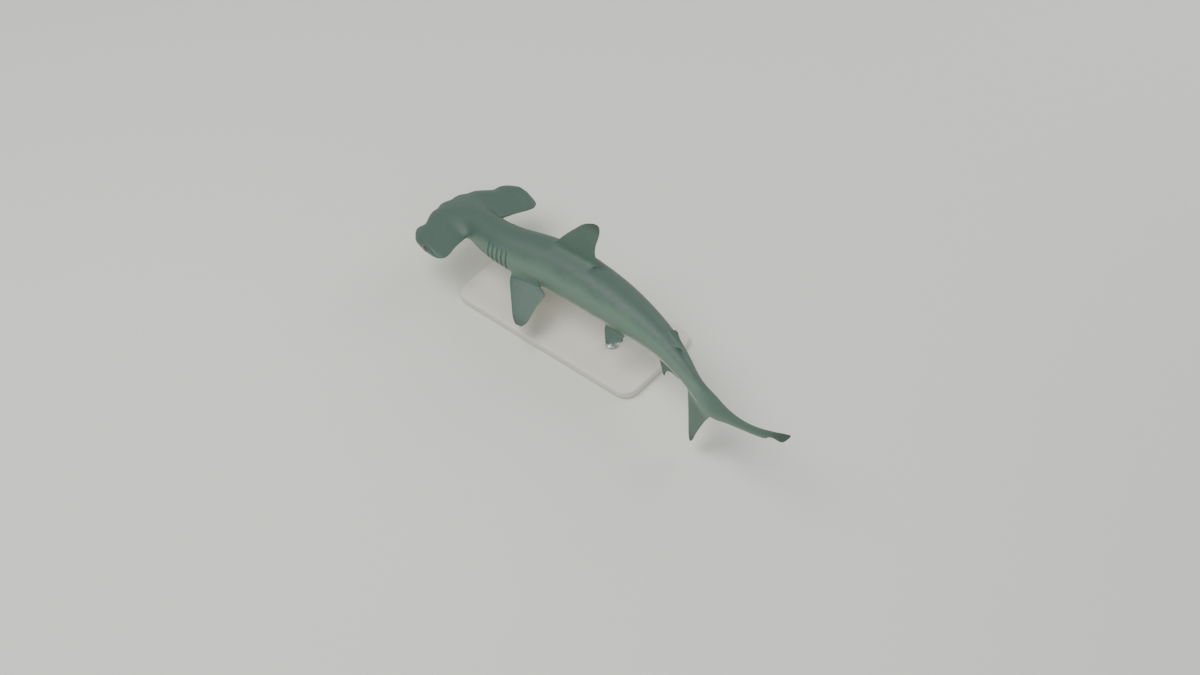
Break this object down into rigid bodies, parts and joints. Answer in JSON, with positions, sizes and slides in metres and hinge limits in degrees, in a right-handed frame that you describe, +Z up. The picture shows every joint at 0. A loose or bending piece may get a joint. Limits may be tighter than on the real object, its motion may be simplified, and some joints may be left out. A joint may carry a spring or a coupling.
{
  "type": "hammerhead shark",
  "caption": "Life-size still model of a young scalloped hammerhead shark in a swimming bend, on a flat base with short rods.",
  "frame": {"origin": "middle of the stand base's underside", "axes": "+Z up, the snout towards -X and the tail towards +X, the shark's right side towards +Y"},
  "size_m": [0.8803, 0.2537, 0.2588],
  "materials": {
    "skin": "satin skin, slate grey-green back, pale belly",
    "jaw": "satin skin, pale",
    "fin": "satin skin, dusky towards the tips",
    "eye": "polished",
    "stand_base": "satin",
    "stand_rod": "brushed"
  },
  "bodies": {
    "root": {"head": "skin", "hammer_left": "skin", "hammer_right": "skin", "neck": "skin", "torso_front": "skin", "torso_rear": "skin", "tail_stalk": "skin", "lower_jaw": "jaw", "dorsal_fin_first": "fin", "dorsal_fin_second": "fin", "anal_fin": "fin", "pectoral_fin_left": "fin", "pectoral_fin_right": "fin", "pelvic_fin_left": "fin", "pelvic_fin_right": "fin", "caudal_fin_upper": "fin", "caudal_fin_lower": "fin", "eye_left": "eye", "eye_right": "eye", "stand_base": "stand_base", "stand_rod_front": "stand_rod", "stand_rod_rear": "stand_rod"}
  },
  "joints": []
}
